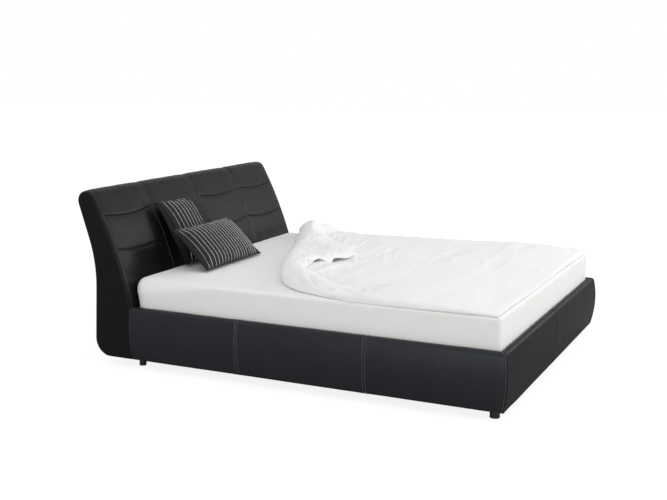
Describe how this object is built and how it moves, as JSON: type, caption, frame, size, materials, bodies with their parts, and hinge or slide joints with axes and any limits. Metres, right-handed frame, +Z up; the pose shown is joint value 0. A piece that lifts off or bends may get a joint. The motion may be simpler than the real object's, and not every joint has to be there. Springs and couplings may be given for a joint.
{
  "type": "upholstered sleigh bed with bedding",
  "caption": "Double bed with a leaning upholstered sleigh headboard, padded rails on low feet, slatted base, mattress, turned-down duvet and two striped cushions.",
  "frame": {"origin": "on the floor, under the middle of the bed's outer box", "axes": "+X across the bed, +Y towards the headboard, +Z up; looking from the foot to the head, left is -X"},
  "size_m": [1.8998, 2.3992, 0.944],
  "materials": {
    "upholstery": "charcoal faux leather, fine grain, semi-matt, pale topstitching",
    "foam": "open-cell upholstery foam",
    "plywood": "raw birch plywood",
    "timber": "raw planed softwood and board",
    "slat_wood": "lacquered beech laminate",
    "frame_steel": "black powder coat",
    "plated_steel": "zinc plated",
    "foot_plastic": "black moulded plastic",
    "holder_plastic": "black moulded plastic",
    "mattress_fabric": "white knitted ticking",
    "sheet_cotton": "white cotton sheet",
    "duvet_cotton": "white cotton duvet",
    "cushion_fabric": "charcoal fabric with raised pale pinstripes"
  },
  "bodies": {
    "bed_frame": {"headboard_cover": "upholstery", "headboard_foam": "foam", "headboard_front_skin": "plywood", "headboard_back_skin": "plywood", "headboard_bottom_board": "timber", "headboard_lower_rail": "timber", "headboard_top_batten": "timber", "headboard_back_batten": "timber", "headboard_rib_1": "plywood", "headboard_rib_2": "plywood", "headboard_rib_3": "plywood", "headboard_rib_4": "plywood", "headboard_rib_5": "plywood", "headboard_end_panel_left": "upholstery", "headboard_end_panel_right": "upholstery", "side_rail_cover_left": "upholstery", "side_rail_cover_right": "upholstery", "side_rail_foam_left": "foam", "side_rail_foam_right": "foam", "side_rail_board_left": "timber", "side_rail_board_right": "timber", "side_rail_ledge_left": "timber", "side_rail_ledge_right": "timber", "footboard_cover": "upholstery", "footboard_foam": "foam", "footboard_board": "timber", "foot_corner_fitting_left": "frame_steel", "foot_corner_fitting_right": "frame_steel", "head_corner_fitting_left": "frame_steel", "head_corner_fitting_right": "frame_steel", "foot_end_foot_left": "foot_plastic", "foot_end_foot_right": "foot_plastic", "head_end_foot_left": "foot_plastic", "head_end_foot_right": "foot_plastic", "foot_nuts": "plated_steel", "frame_bolts": "plated_steel", "headboard_bolts": "plated_steel", "threaded_inserts": "plated_steel", "centre_beam": "frame_steel", "beam_hanger_foot": "frame_steel", "beam_hanger_head": "frame_steel", "centre_leg_1": "frame_steel", "centre_leg_2": "frame_steel", "slats_left": "slat_wood", "slats_right": "slat_wood", "slat_holders_left": "holder_plastic", "slat_holders_right": "holder_plastic"},
    "levelling_glide_1": {"levelling_glide_1": "holder_plastic"},
    "levelling_glide_2": {"levelling_glide_2": "holder_plastic"},
    "mattress": {"mattress": "mattress_fabric", "fitted_sheet": "sheet_cotton"},
    "duvet": {"duvet": "duvet_cotton"},
    "square_cushion": {"square_cushion": "cushion_fabric"},
    "oblong_cushion": {"oblong_cushion": "cushion_fabric"}
  },
  "joints": [
    {"name": "mattress_lift", "type": "slide", "parent": "bed_frame", "child": "mattress", "axis": [0, 0, 1], "range_m": [0, 0.35]},
    {"name": "duvet_lift", "type": "slide", "parent": "mattress", "child": "duvet", "axis": [0, 0, 1], "range_m": [0, 0.25]},
    {"name": "square_cushion_lift", "type": "slide", "parent": "mattress", "child": "square_cushion", "axis": [0, 0, 1], "range_m": [0, 0.25]},
    {"name": "oblong_cushion_lift", "type": "slide", "parent": "square_cushion", "child": "oblong_cushion", "axis": [0, 0, 1], "range_m": [0, 0.2]},
    {"name": "levelling_glide_1_screw", "type": "slide", "parent": "bed_frame", "child": "levelling_glide_1", "axis": [0, 0, 1], "range_m": [-0.008, 0.012]},
    {"name": "levelling_glide_2_screw", "type": "slide", "parent": "bed_frame", "child": "levelling_glide_2", "axis": [0, 0, 1], "range_m": [-0.008, 0.012]}
  ]
}
